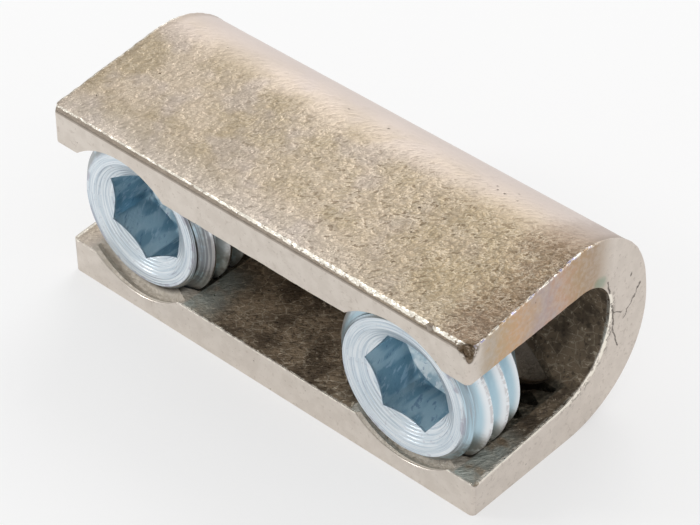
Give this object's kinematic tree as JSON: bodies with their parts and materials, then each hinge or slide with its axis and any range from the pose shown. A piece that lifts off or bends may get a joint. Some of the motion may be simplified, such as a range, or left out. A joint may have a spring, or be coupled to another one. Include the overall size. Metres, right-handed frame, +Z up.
{
  "type": "screw terminal connector",
  "caption": "C-section terminal with a round back and an open mouth; hex-socket set screws in its tapped flanges clamp a wire that lies along the channel.",
  "frame": {"origin": "under the middle of the bounding box, on the flat underside of the lower flange", "axes": "+X along the wire channel, +Y from the open mouth to the round back, +Z up through both flanges"},
  "size_m": [0.0236, 0.0116, 0.0103],
  "materials": {
    "plated_brass": "cast, nickel plated, tarnished",
    "zinc_steel": "turned, blue zinc plated"
  },
  "bodies": {
    "terminal_body": {"channel_body": "plated_brass"},
    "left_screw": {"left_clamp_screw": "zinc_steel"},
    "right_screw": {"right_clamp_screw": "zinc_steel"}
  },
  "joints": [
    {"name": "left_screw_travel", "type": "slide", "parent": "terminal_body", "child": "left_screw", "axis": [0, 1, 0], "range_m": [-0.002, 0.002]},
    {"name": "right_screw_travel", "type": "slide", "parent": "terminal_body", "child": "right_screw", "axis": [0, 1, 0], "range_m": [-0.002, 0.002]}
  ]
}
